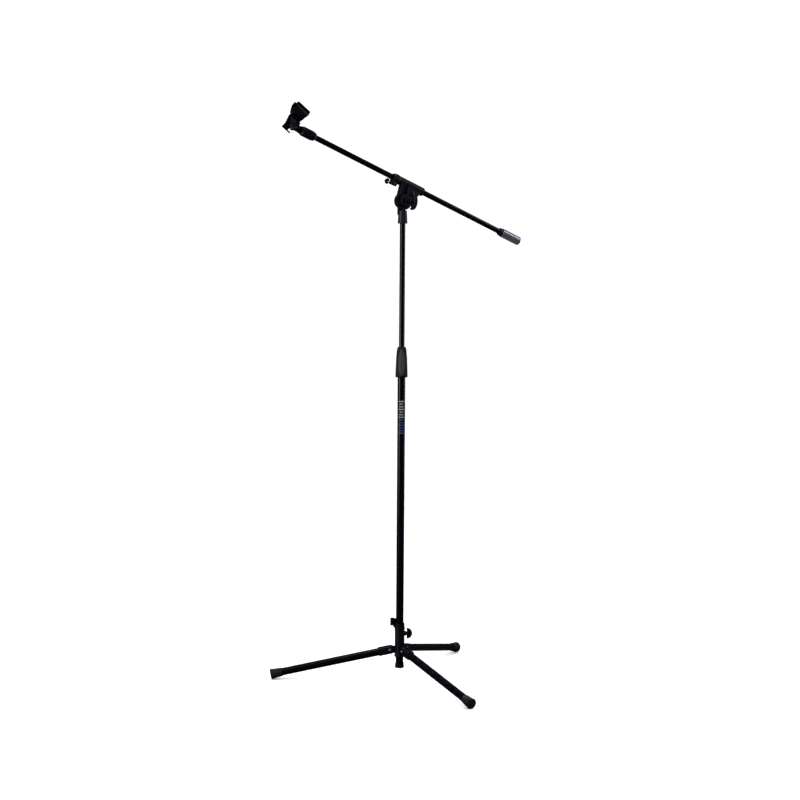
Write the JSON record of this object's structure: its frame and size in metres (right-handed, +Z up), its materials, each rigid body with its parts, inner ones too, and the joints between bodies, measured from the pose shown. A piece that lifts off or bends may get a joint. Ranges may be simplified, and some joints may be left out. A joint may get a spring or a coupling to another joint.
{
  "type": "boom microphone stand",
  "caption": "Tripod stand with a telescoping column, folding legs, a tilting counterweighted boom and a spring clip for a handheld microphone.",
  "frame": {"origin": "on the column axis at floor level", "axes": "+Z up the column; the boom lies in the X-Z plane with its clip end towards -X; one leg points to -Y, the tilt wing knob is on the -Y side"},
  "size_m": [0.7854, 0.5773, 1.6475],
  "materials": {
    "cast_black": "powder coat",
    "black_plastic": "moulded satin",
    "steel": "zinc plated",
    "tube_black": "satin enamel",
    "print_silver": "screen print",
    "nylon": "moulded",
    "grip_grey": "fine texture",
    "swivel_grey": "powder coat",
    "fibre": "pressed fibre",
    "chrome": "bright",
    "weight_gloss": "gloss",
    "clip_plastic": "moulded satin",
    "brass": "turned",
    "pad_rubber": "matt",
    "foot_rubber": "matt"
  },
  "bodies": {
    "base": {"hub": "cast_black", "cable_clip": "black_plastic", "leg_pins": "steel"},
    "hub_lock": {"hub_screw": "steel", "hub_knob": "black_plastic"},
    "leg_1": {"leg_knuckle_1": "black_plastic", "leg_tube_1": "tube_black", "foot_1": "foot_rubber"},
    "leg_2": {"leg_knuckle_2": "black_plastic", "leg_tube_2": "tube_black", "foot_2": "foot_rubber"},
    "leg_3": {"leg_knuckle_3": "black_plastic", "leg_tube_3": "tube_black", "foot_3": "foot_rubber"},
    "column": {"lower_tube": "tube_black", "tube_cap": "black_plastic", "tube_marks": "print_silver", "clutch_core": "black_plastic", "clutch_collet": "nylon"},
    "clutch": {"clutch_grip": "grip_grey"},
    "mast_bush": {"guide_bush": "nylon"},
    "mast": {"upper_tube": "tube_black", "swivel_base": "swivel_grey", "tilt_bolt": "steel", "friction_disc": "fibre"},
    "tilt_lock": {"tilt_knob": "black_plastic", "bolt_washer": "steel"},
    "holder": {"boom_holder": "swivel_grey", "clamp_nut": "steel"},
    "clamp_lock": {"clamp_screw": "steel", "clamp_knob": "black_plastic"},
    "liner": {"boom_liner": "black_plastic"},
    "boom": {"boom_tube": "tube_black", "boom_adapter": "chrome", "weight_core": "steel", "weight_cover": "weight_gloss", "weight_collar": "black_plastic"},
    "ring": {"lock_ring": "black_plastic"},
    "stem": {"clip_stem": "clip_plastic", "clip_insert": "brass"},
    "clip": {"jaw_fixed": "clip_plastic", "pad_fixed": "pad_rubber", "jaw_pin": "steel", "jaw_spring": "steel", "clip_screw": "steel", "clip_nut": "steel"},
    "jaw": {"jaw_moving": "clip_plastic", "pad_moving": "pad_rubber"}
  },
  "joints": [
    {"name": "leg_1_fold", "type": "hinge", "parent": "base", "child": "leg_1", "pos_m": [0, -0.027, 0.08732], "axis": [1, 0, 0], "range_deg": [0, 76]},
    {"name": "leg_2_fold", "type": "hinge", "parent": "base", "child": "leg_2", "pos_m": [0.02338, 0.0135, 0.08732], "axis": [-0.5, 0.866, 0], "range_deg": [0, 76]},
    {"name": "leg_3_fold", "type": "hinge", "parent": "base", "child": "leg_3", "pos_m": [-0.02338, 0.0135, 0.08732], "axis": [-0.5, -0.866, 0], "range_deg": [0, 76]},
    {"name": "hub_knob_turn", "type": "hinge", "parent": "base", "child": "hub_lock", "pos_m": [0.01732, -0.01, 0.135], "axis": [0.866, -0.5, 0], "range_deg": [0, 360]},
    {"name": "column_slide", "type": "slide", "parent": "base", "child": "column", "axis": [0, 0, 1], "range_m": [-0.34, 0.018]},
    {"name": "clutch_twist", "type": "hinge", "parent": "column", "child": "clutch", "pos_m": [0, 0, 0.92], "axis": [0, 0, 1], "range_deg": [0, 180]},
    {"name": "mast_slide", "type": "slide", "parent": "column", "child": "mast_bush", "axis": [0, 0, 1], "range_m": [-0.35, 0.25]},
    {"name": "mast_turn", "type": "hinge", "parent": "mast_bush", "child": "mast", "pos_m": [0, 0, 1], "axis": [0, 0, 1], "range_deg": [-180, 180]},
    {"name": "boom_tilt", "type": "hinge", "parent": "mast", "child": "holder", "pos_m": [0, 0, 1.383], "axis": [0, 1, 0], "range_deg": [-92, 43]},
    {"name": "tilt_knob_turn", "type": "hinge", "parent": "mast", "child": "tilt_lock", "pos_m": [0, -0.04, 1.383], "axis": [0, -1, 0], "range_deg": [0, 360]},
    {"name": "clamp_knob_turn", "type": "hinge", "parent": "holder", "child": "clamp_lock", "pos_m": [-0.03008, 0.0197, 1.43616], "axis": [0.0659, 0.9848, 0.1607], "range_deg": [0, 360]},
    {"name": "boom_roll", "type": "hinge", "parent": "holder", "child": "liner", "pos_m": [0.0184, 0, 1.42787], "axis": [-0.9252, 0, 0.3795], "range_deg": [-180, 180]},
    {"name": "boom_slide", "type": "slide", "parent": "liner", "child": "boom", "axis": [-0.9252, 0, 0.3795], "range_m": [-0.25, 0.285]},
    {"name": "lock_ring_turn", "type": "hinge", "parent": "boom", "child": "ring", "pos_m": [-0.29062, 0, 1.55461], "axis": [-0.9252, 0, 0.3795], "range_deg": [0, 360]},
    {"name": "clip_turn", "type": "hinge", "parent": "boom", "child": "stem", "pos_m": [-0.31005, 0, 1.56258], "axis": [-0.9252, 0, 0.3795], "range_deg": [-180, 180]},
    {"name": "clip_tilt", "type": "hinge", "parent": "stem", "child": "clip", "pos_m": [-0.34798, 0, 1.57814], "axis": [0, -1, 0], "range_deg": [-5, 105]},
    {"name": "jaw_open", "type": "hinge", "parent": "clip", "child": "jaw", "pos_m": [-0.34578, 0, 1.60412], "axis": [0.7955, 0, -0.606], "range_deg": [0, 20], "stiffness_Nm_per_rad": 0.6, "springref_deg": -20.05}
  ]
}
